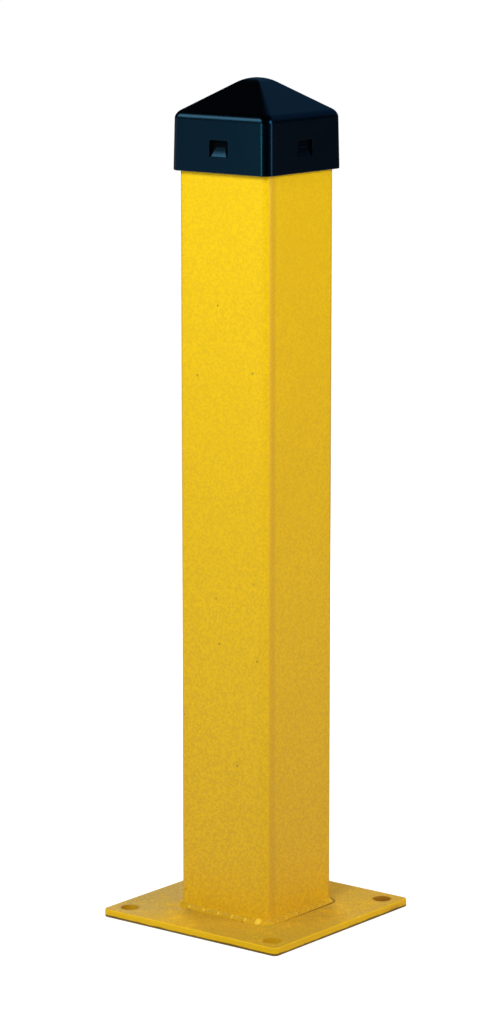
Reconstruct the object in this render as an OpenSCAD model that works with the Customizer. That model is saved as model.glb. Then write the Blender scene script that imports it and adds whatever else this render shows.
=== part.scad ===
// Square safety bollard: a steel tube welded to a drilled base plate, with a moulded plastic cap.
// The origin is the centre of the plate's underside, and +Z is up. All sizes are in millimetres.

/* [Post tube] */
// Outside width of the square tube
tube_w = 127; // [90:1:180]
// Thickness of the tube's wall
tube_wall = 4.8; // [2:0.1:8]
// Outside radius of the tube's rolled corners
tube_corner_r = 10; // [9:0.5:20]
// Cut length of the tube
tube_len = 914; // [500:1:1400]

/* [Base plate] */
// Width of the square plate
plate_w = 254; // [220:1:400]
// Thickness of the plate
plate_t = 9.5; // [5:0.5:25]
// Radius of the plate's corners
plate_corner_r = 6; // [3:0.5:20]
// Width of the bevel that eases the plate's edges
plate_ease = 0.8; // [0.3:0.1:2]
// Diameter of the four anchor holes
hole_d = 20.6; // [10:0.1:28]
// Distance from the plate's edges to the centre of each hole
hole_inset = 22.2; // [18:0.1:32]

/* [Weld] */
// Leg of the fillet weld, up the tube and across the plate
weld_leg = 5; // [4:0.5:12]
// Distance between the proud lumps along the bead
lump_pitch = 20; // [14:1:30]
// Radius of a lump
lump_r = 3.5; // [3:0.5:6]
// Height of a lump over the bead's face
lump_proud = 1.4; // [0.5:0.1:2.5]
// Radius of the larger lump where the bead of each side ends
end_lump_r = 8; // [6:0.5:9]
// Height of the larger lump over the bead's face
end_lump_proud = 2.8; // [1:0.1:3.5]
// Largest distance of a lump from its even place along the bead
lump_wander = 2.5; // [0:0.5:4]

/* [Cap] */
// Thickness of the cap's wall
cap_wall = 3; // [2:0.1:4]
// Space between the tube and the inside of the skirt, bridged by ribs
cap_gap = 2.9; // [1.5:0.1:5]
// Clearance between the ribs and the tube
cap_fit = 0.2; // [0.1:0.05:0.5]
// Height of the skirt, from the rim to the sharp line of the eave
skirt_h = 64; // [50:0.1:100]
// Draft of the skirt: how far each side leans in from the rim to the eave
skirt_draft = 1; // [0:0.1:2]
// Radius of the skirt's upright corners
cap_corner_r = 10; // [6:0.5:20]
// Radius of the rim's outer edge
rim_r = 0.8; // [0.3:0.1:1.5]
// Radius of the eave, where the skirt turns into the roof
eave_r = 12; // [5:0.5:16]
// Rise of the roof's sharp apex over the eave
roof_rise = 45; // [20:0.5:70]
// Radius of the crown that rounds the apex
crown_r = 30; // [18:1:40]

/* [Cap pockets] */
// Width of the pocket in each side of the skirt
pocket_w = 26; // [20:1:40]
// Height of the pocket
pocket_h = 18.5; // [10:0.5:24]
// Radius of the pocket's upper corners
pocket_r = 2.5; // [0.5:0.5:5]
// Height of the pocket's lower edge over the rim
pocket_up = 18.5; // [12:0.5:26]
// Thickness of the wall behind the pocket, which bears on the tube
pocket_back = 1.2; // [1:0.1:3]
// Bare width of the pocket on each side of the wedge's root
wedge_side = 2; // [1:0.5:4]
// Width of the wedge at its tip
wedge_tip_w = 10; // [4:1:13]
// Depth of the wedge's root under the skirt's outer face
wedge_sink = 0.4; // [0.3:0.1:1]
// Bare height of the pocket over the wedge's tip
wedge_clear = 4; // [1:0.5:6]

/* [Cap ribs] */
// Thickness of the upright ribs inside the skirt
rib_t = 2.4; // [1.5:0.1:4]
// Distance from the middle of each side to its two ribs
rib_at = 34; // [25:1:38]
// Height of the ribs' lower end over the rim
rib_up = 8; // [4:1:20]
// Height of the lead-in slope at the ribs' lower end
rib_lead = 4; // [2:1:8]
// Height of the eave over the stops that sit on the tube's end
stop_drop = 7.5; // [4:0.1:12]
// How far the stops reach in past the tube's wall
stop_reach = 2.5; // [1:0.5:8]

/* [Hidden] */

bead_hollow = 2.4;    // power of the bead's face: 2 is flat and 3 is deeply hollow
bead_step = 15;       // degrees between the points of the bead's face
wander_turn = 40;     // degrees from lump to lump of the wave that sets their wander
yellow = [0.92, 0.75, 0.12];
black = [0.06, 0.08, 0.1];
round_fn = 64;        // facets of a full circle, where a preview needs them
over = 1;             // overshoot of a cutting solid
arc_steps = 8;        // steps of one rounded edge in the cap
tip_half = 0.5;       // half width of the small flat that closes the crown

tube_half = tube_w / 2;
tube_top = plate_t + tube_len;
hole_at = plate_w / 2 - hole_inset;

cap_half = tube_half + cap_gap + cap_wall;      // at the rim
eave_half = cap_half - skirt_draft;             // at the sharp line of the eave
rim_z = tube_top + stop_drop - skirt_h;
roof_slope = atan(roof_rise / eave_half);
rib_face = tube_half + cap_fit;                 // inner face of ribs and pads
pocket_floor = rib_face + pocket_back;          // bottom of the pockets, from the axis
pocket_face = cap_half - skirt_draft * pocket_up / skirt_h;     // skirt's face at their lower edge

// Square prism whose upright corners are rounded
module rounded_prism(w, r, h) {
    for (turn = [0, 90])
        rotate([0, 0, turn])
            translate([-w / 2, -w / 2 + r, 0])
                cube([w, w - 2 * r, h]);
    for (x = [-1, 1], y = [-1, 1])
        translate([x * (w / 2 - r), y * (w / 2 - r), 0])
            cylinder(r = r, h = h, $fn = round_fn);
}

// Square slab with rounded corners and a bevel along every outer edge
module eased_slab(w, r, t, bevel) {
    section = [
        [-w / 2 + bevel, 0], [w / 2 - bevel, 0], [w / 2, bevel], [w / 2, t - bevel],
        [w / 2 - bevel, t], [-w / 2 + bevel, t], [-w / 2, t - bevel], [-w / 2, bevel]
    ];
    corner = [[0, 0], [r - bevel, 0], [r, bevel], [r, t - bevel], [r - bevel, t], [0, t]];
    for (turn = [0, 90])
        rotate([90, 0, turn])
            translate([0, 0, -w / 2 + r])
                linear_extrude(w - 2 * r)
                    polygon(section);
    for (x = [-1, 1], y = [-1, 1])
        translate([x * (w / 2 - r), y * (w / 2 - r), 0])
            rotate_extrude($fn = round_fn)
                polygon(corner);
}

module base_plate() {
    color(yellow)
        difference() {
            eased_slab(plate_w, plate_corner_r, plate_t, plate_ease);
            for (x = [-1, 1], y = [-1, 1])
                translate([x * hole_at, y * hole_at, -over])
                    cylinder(d = hole_d, h = plate_t + 2 * over, $fn = round_fn);
        }
}

module post_tube() {
    color(yellow)
        translate([0, 0, plate_t])
            difference() {
                rounded_prism(tube_w, tube_corner_r, tube_len);
                translate([0, 0, -over])
                    rounded_prism(tube_w - 2 * tube_wall, tube_corner_r - tube_wall, tube_len + 2 * over);
            }
}

// Point of the bead's slightly hollow face, from its toe on the plate, 0, to its toe on the tube, 90
function bead_face(a) = weld_leg * [pow(cos(a), bead_hollow), pow(sin(a), bead_hollow)];
function bead_section(from) = concat([[from, 0]], [for (a = [0 : bead_step : 90]) [from, 0] + bead_face(a)]);

// Lump that stands proud of the bead's face, x along the side from its middle
module bead_lump(x, r, proud) {
    sunk = bead_face(45)[0] + (proud - r) / sqrt(2);
    translate([x, -tube_half - sunk, sunk])
        sphere(r = r, $fn = round_fn);
}

// Lumps back along one side of the foot from the end of its bead, less what the tube and the plate take up
module bead_lumps(side) {
    run = tube_w - 2 * tube_corner_r;
    reach = 2 * end_lump_r;
    difference() {
        union() {
            bead_lump(run / 2, end_lump_r, end_lump_proud);
            for (i = [1 : floor((run - lump_r - lump_wander) / lump_pitch)])
                bead_lump(
                    run / 2 - i * lump_pitch + lump_wander * sin(wander_turn * i * (side + 1)),
                    lump_r, lump_proud
                );
        }
        translate([0, 0, -reach])
            rounded_prism(tube_w, tube_corner_r, 2 * reach);
        translate([-tube_w, -tube_w, -reach])
            cube([2 * tube_w, 2 * tube_w, reach]);
    }
}

module weld_bead() {
    run = tube_w - 2 * tube_corner_r;
    color(yellow)
        translate([0, 0, plate_t])
            for (side = [0 : 3])
                rotate([0, 0, 90 * side]) {
                    rotate([90, 0, -90])
                        translate([0, 0, -run / 2])
                            linear_extrude(run)
                                polygon(bead_section(tube_half));
                    translate([tube_half - tube_corner_r, -tube_half + tube_corner_r, 0])
                        rotate_extrude(angle = 90, start = -90, $fn = round_fn)
                            polygon(bead_section(tube_corner_r));
                    bead_lumps(side);
                }
}

// Rounded edges and slope of a hip roof, as [half width, height] from the eave to the crown
function roof_line(half, eave_z, round_r, top_r) =
    let (
        turn = 90 - roof_slope,
        arc_z = eave_z - round_r * tan(turn / 2),
        top_z = eave_z + half * tan(roof_slope) - top_r / cos(roof_slope),
        last = acos(tip_half / top_r)
    )
    concat(
        [for (i = [0 : arc_steps])
            let (a = turn * i / arc_steps) [half - round_r + round_r * cos(a), arc_z + round_r * sin(a)]],
        [for (i = [0 : arc_steps])
            let (a = turn + (last - turn) * i / arc_steps) [top_r * cos(a), top_z + top_r * sin(a)]]
    );

// One level of the cap: a square whose corner radius shrinks with it up the roof
function level(at, full, r) =
    let (corner = min(1, at[0] / full) * r, middle = at[0] - corner)
    [for (q = [0 : 3], i = [0 : arc_steps])
        let (a = 90 * (q + i / arc_steps), cx = q == 0 || q == 3 ? 1 : -1, cy = q < 2 ? 1 : -1)
        [cx * middle + corner * cos(a), cy * middle + corner * sin(a), at[1]]];

// Solid lofted through the levels of an outline that is given as [half width, height]
module loft(outline, full, r) {
    n = 4 * (arc_steps + 1);
    top = len(outline) - 1;
    points = [for (p = outline) each level(p, full, r)];
    sides = [for (k = [0 : top - 1], i = [0 : n - 1])
        let (a = k * n + i, b = k * n + (i + 1) % n)
        each [[a, a + n, b], [b, a + n, b + n]]];
    bottom = [for (i = [0 : n - 1]) i];
    lid = [for (i = [n - 1 : -1 : 0]) top * n + i];
    polyhedron(points, concat([bottom, lid], sides));
}

module cap_outside() {
    outline = concat(
        [[cap_half - rim_r, 0], [cap_half, rim_r]],
        roof_line(eave_half, skirt_h, eave_r, crown_r)
    );
    loft(outline, eave_half, cap_corner_r);
}

module cap_inside() {
    half = eave_half - cap_wall;
    eave_z = skirt_h - cap_wall * (1 / cos(roof_slope) - tan(roof_slope));
    outline = concat(
        [[cap_half - cap_wall, -over]],
        roof_line(half, eave_z, eave_r - cap_wall, crown_r - cap_wall)
    );
    loft(outline, half, cap_corner_r - cap_wall);
}

// Upright rib with a lead-in below and, over the tube's end, a stop that sits on it
module cap_rib() {
    seat = tube_top - rim_z;
    stop = tube_half - tube_wall - stop_reach;
    wall = cap_half;
    outline = [
        [wall, rib_up], [rib_face + cap_gap, rib_up], [rib_face, rib_up + rib_lead], [rib_face, seat],
        [stop, seat], [stop, skirt_h + roof_rise], [wall, skirt_h + roof_rise]
    ];
    rotate([90, 0, 0])
        translate([0, 0, -rib_t / 2])
            linear_extrude(rib_t)
                polygon(outline);
}

// Pad behind a pocket, which carries the pocket's floor up to the tube
module cap_pad() {
    translate([rib_face, -pocket_w / 2 - pocket_back, pocket_up - pocket_back])
        cube([cap_half - rib_face, pocket_w + 2 * pocket_back, pocket_h + 2 * pocket_back]);
}

// Wedge that rises from the pocket's floor to its root just under the skirt's face
module pocket_wedge() {
    root = pocket_face - wedge_sink;
    root_w = pocket_w - 2 * wedge_side;
    tall = pocket_h - wedge_clear;
    intersection() {
        rotate([90, 0, 0])
            translate([0, 0, -pocket_w / 2])
                linear_extrude(pocket_w)
                    polygon([[pocket_floor - over, 0], [root, 0], [pocket_floor - over, tall]]);
        rotate([90, 0, 90])
            translate([0, 0, pocket_floor - 2 * over])
                linear_extrude(cap_half)
                    polygon([
                        [-root_w / 2, 0], [root_w / 2, 0],
                        [wedge_tip_w / 2, tall], [-wedge_tip_w / 2, tall]
                    ]);
    }
}

// Recess with rounded upper corners, less the wedge that stays in it
module cap_pocket() {
    side = pocket_w / 2 - pocket_r;
    top = pocket_h - pocket_r;
    corners = [for (right = [1, -1], i = [0 : arc_steps])
        let (a = 90 * i / arc_steps + (right < 0 ? 90 : 0))
        [right * side + pocket_r * cos(a), top + pocket_r * sin(a)]];
    translate([0, 0, pocket_up])
        difference() {
            rotate([90, 0, 90])
                translate([0, 0, pocket_floor])
                    linear_extrude(cap_half)
                        polygon(concat([[-pocket_w / 2, 0], [pocket_w / 2, 0]], corners));
            pocket_wedge();
        }
}

module post_cap() {
    color(black)
        translate([0, 0, rim_z])
            difference() {
                cap_outside();
                difference() {
                    cap_inside();
                    for (side = [0 : 3])
                        rotate([0, 0, 90 * side]) {
                            cap_pad();
                            for (y = [-rib_at, rib_at])
                                translate([0, y, 0])
                                    cap_rib();
                        }
                }
                for (side = [0 : 3])
                    rotate([0, 0, 90 * side])
                        cap_pocket();
            }
}

base_plate();
weld_bead();
post_tube();
post_cap();
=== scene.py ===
import math
from collections import namedtuple

import bmesh
import bpy
from mathutils import Matrix, Vector


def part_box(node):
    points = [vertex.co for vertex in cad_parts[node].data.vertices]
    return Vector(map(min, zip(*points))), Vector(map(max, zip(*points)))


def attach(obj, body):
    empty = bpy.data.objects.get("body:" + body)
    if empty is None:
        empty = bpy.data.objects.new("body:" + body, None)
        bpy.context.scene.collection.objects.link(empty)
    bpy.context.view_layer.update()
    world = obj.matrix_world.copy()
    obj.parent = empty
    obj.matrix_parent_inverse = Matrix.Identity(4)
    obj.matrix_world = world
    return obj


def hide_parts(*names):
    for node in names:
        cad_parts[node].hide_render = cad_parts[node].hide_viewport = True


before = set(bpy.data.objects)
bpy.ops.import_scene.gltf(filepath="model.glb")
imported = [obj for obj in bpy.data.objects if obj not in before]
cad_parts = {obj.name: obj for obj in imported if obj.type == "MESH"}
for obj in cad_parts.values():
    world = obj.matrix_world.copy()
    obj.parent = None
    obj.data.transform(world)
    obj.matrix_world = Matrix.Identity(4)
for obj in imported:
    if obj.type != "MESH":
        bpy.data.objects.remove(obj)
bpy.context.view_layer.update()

# A safety bollard: a yellow post welded to its base plate, with a black cap. Metres, +Z up. An azimuth of 0 is the
# front, -Y, and 90 is the right, +X. Colours are linear. A pair of values is where a ramp starts and where it is
# full. A noise is its size, its detail and, where that isn't 0.5, its roughness.

MM = 0.001

# Sizes of the solids
TUBE_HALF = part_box("post_tube")[1].x
TUBE_CORNER = 10 * MM
TUBE_RUN = 2 * (TUBE_HALF - TUBE_CORNER)
PLATE_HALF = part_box("base_plate")[1].x
PLATE_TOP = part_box("base_plate")[1].z
WELD_LEG = 5 * MM
HOLE_AT = PLATE_HALF - 22.2 * MM
HOLE_RADIUS = 10.3 * MM
POCKET_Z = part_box("post_cap")[0].z + 28 * MM
POCKET_HALF = 10 * MM
POCKET_DEPTH = (TUBE_HALF + 2.4 * MM, TUBE_HALF + 1.6 * MM)

# The photo's camera, which looks down at the post from the front right
CAMERA_AZIMUTH = 38.07
CAMERA_YAW = 0.127
CAMERA_PITCH = 10.65
CAMERA_DISTANCE = 4.155
CAMERA_HEIGHT = 1.2557
CAMERA_LENS = 129.8
SENSOR = 36

# Floor: white where it is far from the part, a little darker beside it. Mirror images show it pale in one sector
# in front of the part's left side, and dim elsewhere.
FLOOR_REACH = 60
FLOOR_GREY = (0.5, 0.5, 0.5)
FLOOR_GLOW = 0.72
FLOOR_GLOW_AWAY = (0.3, 1.6)
PALE_AZIMUTH = -42
PALE_SECTOR = (0.62, 0.9)
FRONT_GLOW = 0.74
BACK_GLOW = 0.06

# World: white to the camera, dim to the rest, with a pale horizon in the same sector and a blue bank behind
WORLD_WHITE = (1.0, 1.0, 1.0)
WORLD_DIM = (0.006, 0.008, 0.010)
WORLD_FRONT = (0.2, 0.2, 0.2)
WORLD_FRONT_RISE = (0.35, 0.1)
WORLD_BANK = (0.04, 0.13, 0.24)
WORLD_BANK_BACK = (0.4, 0.7)
WORLD_BANK_RISE = (0.15, 0.4)

# Soft boxes: azimuth, distance out, height, height aimed at, width, height of the box, watts and colour. Some light
# only matt surfaces, because the black roof would mirror them, and one is seen in mirror images alone.
SoftBox = namedtuple("SoftBox", "azimuth out height aim wide tall watts colour seen_by")
BOTH, MATT, MIRRORS = "both", "matt", "mirrors"
SOFT_BOXES = {
    "key": SoftBox(-38, 1.5, 1.7, 0.75, 0.8, 0.56, 10.5, (1.0, 1.0, 0.8), BOTH),
    "key_strip": SoftBox(-21, 1.6, 0.8, 0.8, 0.12, 1.2, 1.2, (1.0, 1.0, 0.8), BOTH),
    "corner_glint": SoftBox(-19, 1.6, 0.87, 0.9, 0.2, 0.24, 3.6, (0.9, 1.0, 0.5), MIRRORS),
    "front_high": SoftBox(10, 1.6, 2.0, 0.88, 0.8, 0.7, 18.0, (1.0, 1.0, 0.95), MATT),
    "front_low": SoftBox(22, 1.8, 0.9, 0.5, 0.5, 1.4, 10.5, (1.0, 0.98, 0.97), MATT),
    "side_box": SoftBox(102, 2.0, 1.6, 0.5, 0.9, 0.9, 23.5, (1.0, 0.905, 0.88), BOTH),
    "side_strip": SoftBox(116, 2.2, 0.6, 0.35, 0.4, 1.1, 7.5, (1.0, 0.9, 0.9), BOTH),
    "back_box": SoftBox(225, 2.0, 1.7, 0.5, 0.9, 0.9, 36.0, (1.0, 0.97, 0.94), MATT),
}

# Enamel: its tone over the post's height, and the fine mottle in it
YELLOW = (0.94, 0.635, 0.002)
YELLOW_DEEP = (0.90, 0.60, 0.002)
YELLOW_OCHRE = (0.83, 0.535, 0.006)
YELLOW_FOOT = (0.85, 0.53, 0.014)
YELLOW_FOOT_OCHRE = (0.70, 0.40, 0.022)
PLATE_YELLOW = (0.90, 0.545, 0.006)
FOOT_TONE_HEIGHTS = (0.85, 0.12)
PLATE_TONE_HEIGHTS = (PLATE_TOP + 2 * MM, PLATE_TOP)
BROAD = (90 * MM, 2)
BROAD_STEP = (0.3, 0.7)
MOTTLE = (2.6 * MM, 3, 0.65)
MOTTLE_STEP = (0.38, 0.62)
MOTTLE_SHARE = 0.85

# Painted shade: tan lines down the tube's rolled corners, by azimuth, with the degrees from it where a line starts
# and is full. The front one lies beside its corner, on the right side.
CORNER_SHADE_TAN = (0.62, 0.34, 0.03)
CORNER_SHADE_SHARE = 0.4
CORNER_SHADE_LINES = (-52, 128, 225)
CORNER_SHADE_ANGLES = (28, 16.8)
CORNER_SHADE_FOOT = (PLATE_TOP + WELD_LEG, PLATE_TOP + 4 * WELD_LEG)
FRONT_SHADE_LINE = (-44 * MM, -50 * MM)
RIGHT_SIDE = (0.90, 0.98)

# Dark specks in the paint: how far apart, radius, and the share of places that have one. SPECK_CORE is the share of
# the radius that is fully dark.
SPECK_BROWN = (0.22, 0.12, 0.02)
SPECKS = (26 * MM, 1.9 * MM, 0.45)
FINE_SPECKS = (7 * MM, 0.5 * MM, 0.15)
FINE_SPECK_SHARE = 0.5
SPECK_CORE = 0.4
SPECK_SHARE = 0.7

# Enamel's gloss and its orange peel
ENAMEL_ROUGH = 0.34
ENAMEL_ROUGH_STREAKS = 0.12
ENAMEL_ROUGH_FILM = 0.28
ENAMEL_SPECULAR = 0.2
STREAKS = (3.2 * MM, 4, 0.6)
PEEL = (2.4 * MM, 2, 0.4)
FINE_PEEL = (1.1 * MM, 2)
FINE_PEEL_SHARE = 0.35
SPECK_DEPTH = 0.8
PEEL_STRENGTH = 0.5
PEEL_HEIGHT = 0.14 * MM

# Plate: dusty film and stains on its top. The film's colour is painted reflection, tan at the left and ochre in
# front, and painted shade, brown at the right. A side is a level way and how far along it the side starts and is
# full.
FILM_TAN_REFLECTION = (0.485, 0.37, 0.15)
FILM_OCHRE_REFLECTION = (0.56, 0.35, 0.038)
FILM_BROWN_SHADE = (0.59, 0.385, 0.072)
FILM_SHARE = 0.8
FILM_STEP = (0.15, 0.55)
FILM_REFLECTION_LEFT = (Vector((-1, 0.3, 0)), -0.01, 0.08)
FILM_SHADE_RIGHT = (Vector((0.5, 0.87, 0)), 0.0, 0.13)
STAIN_BROWN = (0.36, 0.20, 0.035)
STAIN_STEP = (0.48, 0.66)
STAIN_SHARE = 0.5
CLEAN_STEP = (0.47, 0.32)
CLEAN_SHARE = 0.45
BLOTCHES = (20 * MM, 5, 0.65)
FINE = (3.0 * MM, 4, 0.7)
FACES_UP = (0.75, 0.98)
ON_PLATE = (PLATE_TOP + 0.6 * MM, PLATE_TOP + 0.2 * MM)

# Plate: rust at its holes, by their side in x and y, and at its right corner, and painted shade at the weld's toe
# and along the lower edge
RUST = (0.30, 0.11, 0.02)
HOLE_RUST = {(-1, -1): 0.45, (1, -1): 0.3, (1, 1): 0.75, (-1, 1): 0.45}
HOLE_RUST_REACH = (HOLE_RADIUS + 2.5 * MM, HOLE_RADIUS - 0.5 * MM)
HOLE_RUST_RAGGED = 4 * MM
CORNER_RUST_REACH = (75 * MM, 12 * MM)
CORNER_RUST_STEP = (0.3, 0.6)
CORNER_RUST_HEIGHTS = (PLATE_TOP, 0.2 * PLATE_TOP)
CORNER_RUST_SHARE = 0.8
SHADE_BROWN = (0.11, 0.065, 0.015)
TOE_SHADE_REACH = (WELD_LEG + 3.5 * MM, WELD_LEG + 1 * MM)
TOE_SHADE_SHARE = 0.75
TOE_SHADE_SIDE = (Vector((0.7, 0.7, 0)), 0.0, 0.07)
LOWER_SHADE_HEIGHT = 1.4 * MM
LOWER_SHADE_RAGGED = 2.6 * MM
LOWER_SHADE_SOFT = 0.6 * MM
LOWER_SHADE_SHARE = 0.9

# Paint on the weld, with a painted highlight on the lumps' crests: how much on the front, right, back and left side,
# and the name of the attribute that says where
BEAD_YELLOW = (0.74, 0.45, 0.010)
BEAD_OCHRE = (0.60, 0.34, 0.014)
BEAD_HIGHLIGHT = (0.90, 0.62, 0.05)
CREST_HIGHLIGHT = (1.0, 0.5, 0.8, 0.8)
CREST_STEP = (0.2, 0.8)
CREST_ATTRIBUTE = "proud"

# Weld bead: a fillet with a hollow face, lumps along each side and a bigger one at its end, and faint ripples
BEAD_HOLLOW = 2.4
BEAD_STEPS = 14
WELD_STEP = 1 * MM
LUMP_PITCH = 20 * MM
LUMP_RADIUS, LUMP_RISE = 3.5 * MM, 1.4 * MM
END_LUMP_RADIUS, END_LUMP_RISE = 8 * MM, 2.8 * MM
LUMP_NARROW = 1.2
LUMP_WANDER = 2.5 * MM
WANDER_TURN = 40
RIPPLE_PITCH = 3 * MM
RIPPLE_BOW = 0.9
RIPPLE_HEIGHT = 0.08 * MM
BEAD_EDGE = 3

# Cap: black plastic whose colour comes from its gloss, with the gloss cut in its pockets as painted shade
CAP_BLACK = (0.0002, 0.0003, 0.0004)
CAP_BLUE = (0.0002, 0.0005, 0.0008)
CAP_POCKET = (0.0004, 0.0006, 0.0008)
CAP_SHEEN = (0.0, 0.40, 1.0)
CAP_SPECULAR = 0.4
CAP_ROUGH = 0.2
CAP_ROUGH_STREAKS = 0.08
CAP_ROUGH_POCKET = 0.35
CAP_POCKET_SHADE = 0.9
CAP_BROAD = (35 * MM, 3)
CAP_STREAKS = (6 * MM, 4, 0.6)
CAP_DUST = (0.004, 0.008, 0.010)
CAP_DUST_STEP = (0.62, 0.8)
CAP_DUST_SHARE = 0.12
CAP_GRAIN = (0.7 * MM, 3)
CAP_STREAK_RELIEF = 0.6
CAP_GRAIN_STRENGTH = 0.25
CAP_GRAIN_HEIGHT = 0.05 * MM

# Cap: how its facets are joined and its sharp edges eased
MERGE_DISTANCE = 0.002 * MM
FLAT_ANGLE = 0.4
EASE_ANGLE = 32
EASE_WIDTH = 0.45 * MM
EASE_SEGMENTS = 2


def direction(azimuth, elevation=0.0):
    """Unit vector from the post towards an azimuth and an elevation, in degrees."""
    a, e = math.radians(azimuth), math.radians(elevation)
    return Vector((math.sin(a) * math.cos(e), -math.cos(a) * math.cos(e), math.sin(e)))


# Shader nodes


def new_material(name):
    material = bpy.data.materials.new(name)
    material.use_nodes = True
    material.node_tree.nodes.clear()
    return material, material.node_tree


def feed(tree, socket, value):
    """Sets an input socket, or links it where the value is another node's output."""
    if isinstance(value, bpy.types.NodeSocket):
        tree.links.new(value, socket)
    else:
        socket.default_value = value


def add_node(tree, kind, inputs=None, **settings):
    made = tree.nodes.new(kind)
    for name, value in settings.items():
        setattr(made, name, value)
    for name, value in (inputs or {}).items():
        feed(tree, made.inputs[name], value)
    return made


def math_node(tree, operation, a, b=0.0, clamp=False):
    return add_node(tree, "ShaderNodeMath", {0: a, 1: b}, operation=operation, use_clamp=clamp).outputs[0]


def plus(tree, *terms):
    total = terms[0]
    for term in terms[1:]:
        total = math_node(tree, "ADD", total, term)
    return total


def times(tree, *factors):
    product = factors[0]
    for factor in factors[1:]:
        product = math_node(tree, "MULTIPLY", product, factor)
    return product


def minus(tree, a, b):
    return math_node(tree, "SUBTRACT", a, b)


def larger(tree, a, b):
    return math_node(tree, "MAXIMUM", a, b)


def vector_node(tree, operation, *vectors):
    made = add_node(tree, "ShaderNodeVectorMath", dict(enumerate(vectors)), operation=operation)
    return made.outputs["Value" if operation in ("DOT_PRODUCT", "LENGTH", "DISTANCE") else "Vector"]


def dot(tree, vector, way):
    return vector_node(tree, "DOT_PRODUCT", vector, way)


def axis_of(tree, vector, axis):
    return add_node(tree, "ShaderNodeSeparateXYZ", {"Vector": vector}).outputs[axis]


def ramp_between(tree, value, low, high, smooth=True):
    """0 where value is at low, 1 where it is at high, and held beyond both."""
    made = add_node(
        tree, "ShaderNodeMapRange",
        {"Value": value, "From Min": low, "From Max": high},
        interpolation_type="SMOOTHSTEP" if smooth else "LINEAR",
    )
    return made.outputs["Result"]


def mix_colour(tree, share, a, b):
    made = add_node(tree, "ShaderNodeMix", data_type="RGBA")
    for name, value in (("Factor", share), ("A", a), ("B", b)):
        socket = next(s for s in made.inputs if s.name == name and s.enabled)
        feed(tree, socket, (*value, 1) if isinstance(value, tuple) else value)
    return next(s for s in made.outputs if s.enabled)


def noise(tree, place, size, detail=3.0, rough=0.5):
    """Noise whose cells are about size across, from 0 to 1."""
    made = add_node(
        tree, "ShaderNodeTexNoise",
        {"Vector": place, "Scale": 1 / size, "Detail": detail, "Roughness": rough},
    )
    return made.outputs["Fac"]


def specks(tree, place, spacing, radius, share):
    """1 inside round specks, of which share of the cells hold one."""
    cells = add_node(tree, "ShaderNodeTexVoronoi", {"Vector": place, "Scale": 1 / spacing, "Randomness": 1.0})
    near = ramp_between(tree, cells.outputs["Distance"], radius / spacing, SPECK_CORE * radius / spacing)
    pick = add_node(tree, "ShaderNodeSeparateColor", {"Color": cells.outputs["Color"]})
    return times(tree, near, math_node(tree, "GREATER_THAN", pick.outputs["Red"], 1 - share))


def object_place(tree):
    return add_node(tree, "ShaderNodeTexCoord").outputs["Object"]


def principled(tree, relief, strength, depth, inputs):
    """Ends a material with a Principled shader that has a bump from relief."""
    bump = add_node(tree, "ShaderNodeBump", {"Height": relief, "Strength": strength, "Distance": depth})
    shader = add_node(tree, "ShaderNodeBsdfPrincipled", {**inputs, "Normal": bump.outputs["Normal"]})
    add_node(tree, "ShaderNodeOutputMaterial", {"Surface": shader.outputs["BSDF"]})


# Yellow enamel


def mottle(tree, place):
    return ramp_between(tree, noise(tree, place, *MOTTLE), *MOTTLE_STEP)


def yellow_by_height(tree, place, height):
    """The enamel's colour: paler up the post, deeper and more orange towards its foot."""
    marks = times(tree, mottle(tree, place), MOTTLE_SHARE)
    broad = ramp_between(tree, noise(tree, place, *BROAD), *BROAD_STEP)
    clean = mix_colour(tree, broad, YELLOW, YELLOW_DEEP)
    clean = mix_colour(tree, marks, clean, YELLOW_OCHRE)
    foot_tone = mix_colour(tree, marks, YELLOW_FOOT, YELLOW_FOOT_OCHRE)
    colour = mix_colour(tree, ramp_between(tree, height, *FOOT_TONE_HEIGHTS, smooth=False), clean, foot_tone)
    return mix_colour(tree, ramp_between(tree, height, *PLATE_TONE_HEIGHTS), colour, PLATE_YELLOW)


def corner_shade_lines(tree, place, facing, height, colour):
    """Painted shade: a tan line that runs down each rolled corner of the tube."""
    share = times(
        tree,
        ramp_between(tree, dot(tree, facing, direction(90)), *RIGHT_SIDE),
        ramp_between(tree, axis_of(tree, place, "Y"), *FRONT_SHADE_LINE),
    )
    near = [math.cos(math.radians(angle)) for angle in CORNER_SHADE_ANGLES]
    for azimuth in CORNER_SHADE_LINES:
        share = larger(tree, share, ramp_between(tree, dot(tree, facing, direction(azimuth)), *near))
    on_tube = ramp_between(tree, height, *CORNER_SHADE_FOOT)
    return mix_colour(tree, times(tree, share, on_tube, CORNER_SHADE_SHARE), colour, CORNER_SHADE_TAN)


def near_holes(tree, place, fine):
    """1 at the anchor holes and in a ragged ring round them, less where a hole has kept its paint."""
    level = vector_node(tree, "MULTIPLY", place, Vector((1, 1, 0)))
    ragged = times(tree, minus(tree, fine, 0.5), HOLE_RUST_RAGGED)
    share = 0.0
    for (x, y), strength in HOLE_RUST.items():
        away = vector_node(tree, "DISTANCE", level, Vector((x * HOLE_AT, y * HOLE_AT, 0)))
        ring = ramp_between(tree, plus(tree, away, ragged), *HOLE_RUST_REACH)
        share = larger(tree, share, times(tree, ring, strength))
    return share


def outside_tube(tree, place):
    """Level distance from the tube's outer face, 0 or less on it."""
    higher_than_any = Vector((0, 0, 10))
    middle = Vector((1, 1, 0)) * TUBE_RUN / 2 + higher_than_any
    past = vector_node(tree, "SUBTRACT", vector_node(tree, "ABSOLUTE", place), middle)
    past = vector_node(tree, "MAXIMUM", past, Vector((0, 0, 0)))
    return minus(tree, vector_node(tree, "LENGTH", past), TUBE_CORNER)


def towards(tree, place, way, start, end):
    """Ramps up along a level way."""
    return ramp_between(tree, dot(tree, place, way), start, end)


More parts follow.
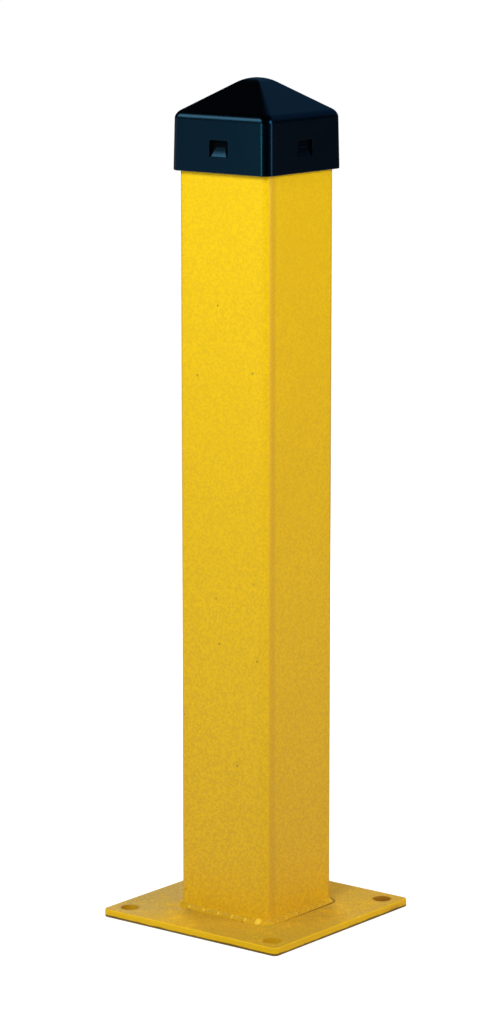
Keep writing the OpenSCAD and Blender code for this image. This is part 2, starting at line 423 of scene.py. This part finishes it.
def plate_film(tree, place, top, film, fine, colour):
    """Dusty film and fine stains on the plate's top; the film's colour is painted reflection and, at the right,
    painted shade.
    """
    dust_and_painted_light = mix_colour(tree, towards(tree, place, *FILM_REFLECTION_LEFT), FILM_OCHRE_REFLECTION, FILM_TAN_REFLECTION)
    dust_and_painted_light = mix_colour(tree, towards(tree, place, *FILM_SHADE_RIGHT), dust_and_painted_light, FILM_BROWN_SHADE)
    colour = mix_colour(tree, times(tree, film, FILM_SHARE), colour, dust_and_painted_light)
    stains = times(tree, top, ramp_between(tree, fine, *STAIN_STEP), STAIN_SHARE)
    colour = mix_colour(tree, stains, colour, STAIN_BROWN)
    clean = times(tree, top, ramp_between(tree, fine, *CLEAN_STEP), CLEAN_SHARE)
    return mix_colour(tree, clean, colour, PLATE_YELLOW)


def plate_rust_and_shade(tree, place, height, on_plate, blotch, fine, colour):
    """Rust at the holes and on the right corner's edge, and painted shade at the weld's toe and along the lower
    edge.
    """
    colour = mix_colour(tree, times(tree, on_plate, near_holes(tree, place, fine)), colour, RUST)

    # Painted shade: a dark line along the weld's toe on the plate, growing towards the right and back.
    toe_shade = ramp_between(tree, outside_tube(tree, place), *TOE_SHADE_REACH)
    toe_shade = times(tree, on_plate, toe_shade, towards(tree, place, *TOE_SHADE_SIDE), TOE_SHADE_SHARE)
    colour = mix_colour(tree, toe_shade, colour, SHADE_BROWN)

    from_corner = vector_node(tree, "DISTANCE", place, Vector((PLATE_HALF, PLATE_HALF, 0)))
    red = times(
        tree, on_plate,
        ramp_between(tree, from_corner, *CORNER_RUST_REACH),
        ramp_between(tree, blotch, *CORNER_RUST_STEP),
        ramp_between(tree, height, *CORNER_RUST_HEIGHTS),
        CORNER_RUST_SHARE,
    )
    colour = mix_colour(tree, red, colour, RUST)

    # Painted shade: a dark band along the plate's lower edge.
    edge = plus(tree, times(tree, blotch, LOWER_SHADE_RAGGED), LOWER_SHADE_HEIGHT)
    lower_shade = ramp_between(tree, minus(tree, height, edge), LOWER_SHADE_SOFT, -LOWER_SHADE_SOFT)
    return mix_colour(tree, times(tree, lower_shade, LOWER_SHADE_SHARE), colour, SHADE_BROWN)


def solids_paint(tree, place):
    """Colour of the enamel on the tube and the plate, and how much dusty film is on it."""
    height = axis_of(tree, place, "Z")
    facing = add_node(tree, "ShaderNodeNewGeometry").outputs["Normal"]
    blotch = noise(tree, place, *BLOTCHES)
    fine = noise(tree, place, *FINE)
    on_plate = ramp_between(tree, height, *ON_PLATE)
    top = times(tree, on_plate, ramp_between(tree, axis_of(tree, facing, "Z"), *FACES_UP))
    film = times(tree, top, ramp_between(tree, blotch, *FILM_STEP))

    colour = yellow_by_height(tree, place, height)
    colour = corner_shade_lines(tree, place, facing, height, colour)
    colour = plate_film(tree, place, top, film, fine, colour)
    return plate_rust_and_shade(tree, place, height, on_plate, blotch, fine, colour), film


def bead_paint(tree, place):
    """Colour of the enamel on the weld, with a painted highlight on the lumps' crests, and no film."""
    colour = mix_colour(tree, mottle(tree, place), BEAD_YELLOW, BEAD_OCHRE)
    crest = add_node(tree, "ShaderNodeAttribute", attribute_name=CREST_ATTRIBUTE).outputs["Fac"]
    return mix_colour(tree, ramp_between(tree, crest, *CREST_STEP), colour, BEAD_HIGHLIGHT), 0.0


def paint_material(name, paint):
    """Semi-gloss enamel with dark specks and orange peel, over the colour and film that paint makes."""
    material, tree = new_material(name)
    place = object_place(tree)
    colour, film = paint(tree, place)

    fine_spots = times(tree, specks(tree, place, *FINE_SPECKS), FINE_SPECK_SHARE)
    spots = larger(tree, specks(tree, place, *SPECKS), fine_spots)
    colour = mix_colour(tree, times(tree, spots, SPECK_SHARE), colour, SPECK_BROWN)

    streaks = times(tree, noise(tree, place, *STREAKS), ENAMEL_ROUGH_STREAKS)
    rough = plus(tree, ENAMEL_ROUGH, streaks, times(tree, film, ENAMEL_ROUGH_FILM))
    fine_peel = times(tree, noise(tree, place, *FINE_PEEL), FINE_PEEL_SHARE)
    peel = plus(tree, noise(tree, place, *PEEL), fine_peel)
    relief = minus(tree, peel, times(tree, spots, SPECK_DEPTH))
    principled(
        tree, relief, PEEL_STRENGTH, PEEL_HEIGHT,
        {"Base Color": colour, "Roughness": rough, "Specular IOR Level": ENAMEL_SPECULAR},
    )
    return material


# Black plastic


def in_pocket(tree, place):
    """0 on the skirt's face and 1 deep in its pockets."""
    folded = vector_node(tree, "ABSOLUTE", place)
    outward = larger(tree, axis_of(tree, folded, "X"), axis_of(tree, folded, "Y"))
    off_level = math_node(tree, "ABSOLUTE", minus(tree, axis_of(tree, folded, "Z"), POCKET_Z))
    near = math_node(tree, "LESS_THAN", off_level, POCKET_HALF)
    return times(tree, near, ramp_between(tree, outward, *POCKET_DEPTH))


def plastic_material():
    """Black moulded plastic: blue-black body, fine mould grain, a little dust, and pockets whose gloss is cut as
    painted shade.
    """
    material, tree = new_material("black_plastic_moulded")
    place = object_place(tree)
    broad = ramp_between(tree, noise(tree, place, *CAP_BROAD), *BROAD_STEP)
    streak = noise(tree, place, *CAP_STREAKS)
    deep = in_pocket(tree, place)

    dust_and_painted_light = times(tree, ramp_between(tree, streak, *CAP_DUST_STEP), CAP_DUST_SHARE)
    colour = mix_colour(tree, broad, CAP_BLACK, CAP_BLUE)
    colour = mix_colour(tree, dust_and_painted_light, colour, CAP_DUST)
    colour = mix_colour(tree, deep, colour, CAP_POCKET)

    rough = plus(tree, CAP_ROUGH, times(tree, streak, CAP_ROUGH_STREAKS), times(tree, deep, CAP_ROUGH_POCKET))
    # Painted shade: deep in the pockets the gloss drops away.
    sheen = times(tree, minus(tree, 1.0, times(tree, deep, CAP_POCKET_SHADE)), CAP_SPECULAR)
    relief = plus(tree, noise(tree, place, *CAP_GRAIN), times(tree, streak, CAP_STREAK_RELIEF))
    principled(
        tree, relief, CAP_GRAIN_STRENGTH, CAP_GRAIN_HEIGHT,
        {
            "Base Color": colour, "Roughness": rough,
            "Specular IOR Level": sheen, "Specular Tint": (*CAP_SHEEN, 1),
        },
    )
    return material


# Pieces


def smooth_all(mesh):
    mesh.polygons.foreach_set("use_smooth", [True] * len(mesh.polygons))


def place_piece(name, mesh, material, node):
    """Puts a mesh on the root body in place of a CAD node."""
    smooth_all(mesh)
    mesh.materials.clear()
    mesh.materials.append(material)
    piece = bpy.data.objects.new(name, mesh)
    bpy.context.scene.collection.objects.link(piece)
    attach(piece, "root")
    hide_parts(node)
    return piece


def moulded_cap(material):
    """The cap's own solid with its facets joined, its sharp edges eased and its shading smooth."""
    work = bmesh.new()
    work.from_mesh(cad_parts["post_cap"].data)
    bmesh.ops.remove_doubles(work, verts=work.verts, dist=MERGE_DISTANCE)
    bmesh.ops.dissolve_limit(work, angle_limit=math.radians(FLAT_ANGLE), verts=work.verts, edges=work.edges)
    mesh = bpy.data.meshes.new("moulded_cap")
    work.to_mesh(mesh)
    work.free()
    piece = place_piece("moulded_cap", mesh, material, "post_cap")
    ease = piece.modifiers.new("eased_edges", "BEVEL")
    ease.width = EASE_WIDTH
    ease.segments = EASE_SEGMENTS
    ease.limit_method = "ANGLE"
    ease.angle_limit = math.radians(EASE_ANGLE)
    piece.modifiers.new("even_shading", "WEIGHTED_NORMAL").keep_sharp = True


def foot_path():
    """Points round the tube's foot, every WELD_STEP or so: place, way out, side, and how far along the side."""
    turning = math.pi / 2 * (TUBE_CORNER + WELD_LEG / 2)
    run_steps, turn_steps = round(TUBE_RUN / WELD_STEP), round(turning / WELD_STEP)
    points = []
    for side in range(4):
        turn = Matrix.Rotation(math.radians(90 * side), 2)
        for i in range(run_steps):
            along = -TUBE_RUN / 2 + TUBE_RUN * i / run_steps
            points.append((turn @ Vector((along, -TUBE_HALF)), turn @ Vector((0, -1)), side, along))
        centre = turn @ Vector((TUBE_RUN / 2, -TUBE_RUN / 2))
        for i in range(turn_steps):
            angle = math.radians(-90 + 90 * i / turn_steps)
            out = turn @ Vector((math.cos(angle), math.sin(angle)))
            points.append((centre + TUBE_CORNER * out, out, side, TUBE_RUN / 2 + turning * i / turn_steps))
    return points


def lumps(side):
    """A side's lumps: how far along it each one is, its radius and its height over the bead."""
    found = [(TUBE_RUN / 2, END_LUMP_RADIUS, END_LUMP_RISE)]
    for i in range(1, int((TUBE_RUN - LUMP_RADIUS - LUMP_WANDER) / LUMP_PITCH) + 1):
        wander = LUMP_WANDER * math.sin(math.radians(WANDER_TURN * i * (side + 1)))
        found.append((TUBE_RUN / 2 - i * LUMP_PITCH + wander, LUMP_RADIUS, LUMP_RISE))
    return found


def bead_rise(side, along, angle):
    """How far the bead's face stands out there over its plain section, and how near that is to a lump's top."""
    across = WELD_LEG * math.radians(angle - 45)
    shape = math.sin(math.radians(2 * angle))
    bowed = along - RIPPLE_BOW * across * across / WELD_LEG
    rise = RIPPLE_HEIGHT * shape * math.sin(2 * math.pi * bowed / RIPPLE_PITCH)
    crest = 0.0
    for at, radius, proud in lumps(side):
        reach = math.sqrt(radius ** 2 - (radius - proud) ** 2)
        off = math.hypot(along - at, LUMP_NARROW * across) / reach
        if off < 1:
            lump = math.cos(math.pi / 2 * off)
            rise += proud * lump
            crest = max(crest, lump)
    return rise * min(1, BEAD_EDGE * shape), crest


def weld_piece(material):
    """Fillet bead round the tube's foot: a section swept along foot_path, closed at the tube and the plate."""
    verts, crest_highlights = [], []
    for spot, out, side, along in foot_path():
        verts.append((spot.x, spot.y, PLATE_TOP))
        crest_highlights.append(0.0)
        for step in range(BEAD_STEPS + 1):
            angle = 90 * step / BEAD_STEPS
            c, s = math.cos(math.radians(angle)), math.sin(math.radians(angle))
            rise, crest = bead_rise(side, along, angle)
            reach = WELD_LEG * c ** BEAD_HOLLOW + rise * c
            up = WELD_LEG * s ** BEAD_HOLLOW + rise * s
            verts.append((spot.x + out.x * reach, spot.y + out.y * reach, PLATE_TOP + up))
            # Painted highlight: how brightly the lump's crest is painted, by side.
            crest_highlights.append(CREST_HIGHLIGHT[side] * crest)
    wide = BEAD_STEPS + 2
    faces = []
    for a in range(0, len(verts), wide):
        b = (a + wide) % len(verts)
        faces += [(a + j, b + j, b + (j + 1) % wide, a + (j + 1) % wide) for j in range(wide)]
    mesh = bpy.data.meshes.new("weld_run")
    mesh.from_pydata(verts, [], faces)
    mesh.attributes.new(CREST_ATTRIBUTE, "FLOAT", "POINT").data.foreach_set("value", crest_highlights)
    work = bmesh.new()
    work.from_mesh(mesh)
    bmesh.ops.recalc_face_normals(work, faces=work.faces)
    work.to_mesh(mesh)
    work.free()
    place_piece("weld_run", mesh, material, "weld_bead")


# Studio


def pale_sector(tree, way):
    """1 towards the sector that mirror images show pale."""
    return ramp_between(tree, dot(tree, way, direction(PALE_AZIMUTH)), *PALE_SECTOR)


def floor_material():
    """Pale floor: white to the camera, its own glow in mirror images, and grey paper for the light it bounces."""
    material, tree = new_material("studio_floor")
    path = add_node(tree, "ShaderNodeLightPath").outputs
    place = object_place(tree)
    pale = pale_sector(tree, vector_node(tree, "NORMALIZE", place))
    mirrored = plus(tree, BACK_GLOW, times(tree, pale, FRONT_GLOW - BACK_GLOW))
    seen = plus(tree, path["Is Camera Ray"], times(tree, mirrored, path["Is Glossy Ray"]))
    seen = math_node(tree, "ADD", seen, path["Is Transmission Ray"], clamp=True)
    far = ramp_between(tree, vector_node(tree, "LENGTH", place), *FLOOR_GLOW_AWAY)
    glow = plus(tree, FLOOR_GLOW, times(tree, far, 1 - FLOOR_GLOW))
    paper = add_node(tree, "ShaderNodeBsdfDiffuse", {"Color": (*FLOOR_GREY, 1)})
    light = add_node(tree, "ShaderNodeEmission", {"Strength": times(tree, glow, seen)})
    both = add_node(tree, "ShaderNodeAddShader", {0: paper.outputs[0], 1: light.outputs[0]})
    add_node(tree, "ShaderNodeOutputMaterial", {"Surface": both.outputs[0]})
    return material


def make_floor():
    mesh = bpy.data.meshes.new("floor")
    r = FLOOR_REACH
    mesh.from_pydata([(-r, -r, 0), (r, -r, 0), (r, r, 0), (-r, r, 0)], [], [(0, 1, 2, 3)])
    mesh.materials.append(floor_material())
    floor = bpy.data.objects.new("floor", mesh)
    bpy.context.scene.collection.objects.link(floor)


def make_world():
    world = bpy.data.worlds.new("studio")
    world.use_nodes = True
    tree = world.node_tree
    tree.nodes.clear()
    way = add_node(tree, "ShaderNodeTexCoord").outputs["Generated"]
    rise = axis_of(tree, way, "Z")
    front = times(tree, ramp_between(tree, rise, *WORLD_FRONT_RISE), pale_sector(tree, way))
    back = ramp_between(tree, dot(tree, way, direction(180)), *WORLD_BANK_BACK)
    bank = times(tree, back, ramp_between(tree, rise, *WORLD_BANK_RISE))
    colour = mix_colour(tree, front, WORLD_DIM, WORLD_FRONT)
    colour = mix_colour(tree, bank, colour, WORLD_BANK)
    camera_ray = add_node(tree, "ShaderNodeLightPath").outputs["Is Camera Ray"]
    colour = mix_colour(tree, camera_ray, colour, WORLD_WHITE)
    shader = add_node(tree, "ShaderNodeBackground", {"Color": colour})
    add_node(tree, "ShaderNodeOutputWorld", {"Surface": shader.outputs[0]})
    bpy.context.scene.world = world


def make_lights():
    for name, box in SOFT_BOXES.items():
        light = bpy.data.lights.new(name, "AREA")
        light.shape = "RECTANGLE"
        light.size = box.wide
        light.size_y = box.tall
        light.energy = box.watts
        light.color = box.colour
        lamp = bpy.data.objects.new(name, light)
        lamp.location = direction(box.azimuth) * box.out + Vector((0, 0, box.height))
        aim = Vector((0, 0, box.aim)) - lamp.location
        lamp.rotation_euler = aim.to_track_quat("-Z", "Y").to_euler()
        lamp.visible_camera = False
        lamp.visible_diffuse = box.seen_by != MIRRORS
        lamp.visible_glossy = box.seen_by != MATT
        bpy.context.scene.collection.objects.link(lamp)


def make_camera():
    data = bpy.data.cameras.new("camera")
    data.lens = CAMERA_LENS
    data.sensor_width = SENSOR
    data.clip_end = 4 * FLOOR_REACH
    camera = bpy.data.objects.new("camera", data)
    camera.location = direction(CAMERA_AZIMUTH) * CAMERA_DISTANCE + Vector((0, 0, CAMERA_HEIGHT))
    forward = -direction(CAMERA_AZIMUTH + CAMERA_YAW, CAMERA_PITCH)
    camera.rotation_euler = forward.to_track_quat("-Z", "Y").to_euler()
    bpy.context.scene.collection.objects.link(camera)
    bpy.context.scene.camera = camera


def main():
    make_camera()
    make_floor()
    make_world()
    make_lights()
    enamel = paint_material("yellow_enamel", solids_paint)
    for name in ("base_plate", "post_tube"):
        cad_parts[name].material_slots[0].material = enamel
    weld_piece(paint_material("yellow_enamel_on_weld", bead_paint))
    moulded_cap(plastic_material())
    bpy.context.scene.view_settings.view_transform = "Standard"


main()
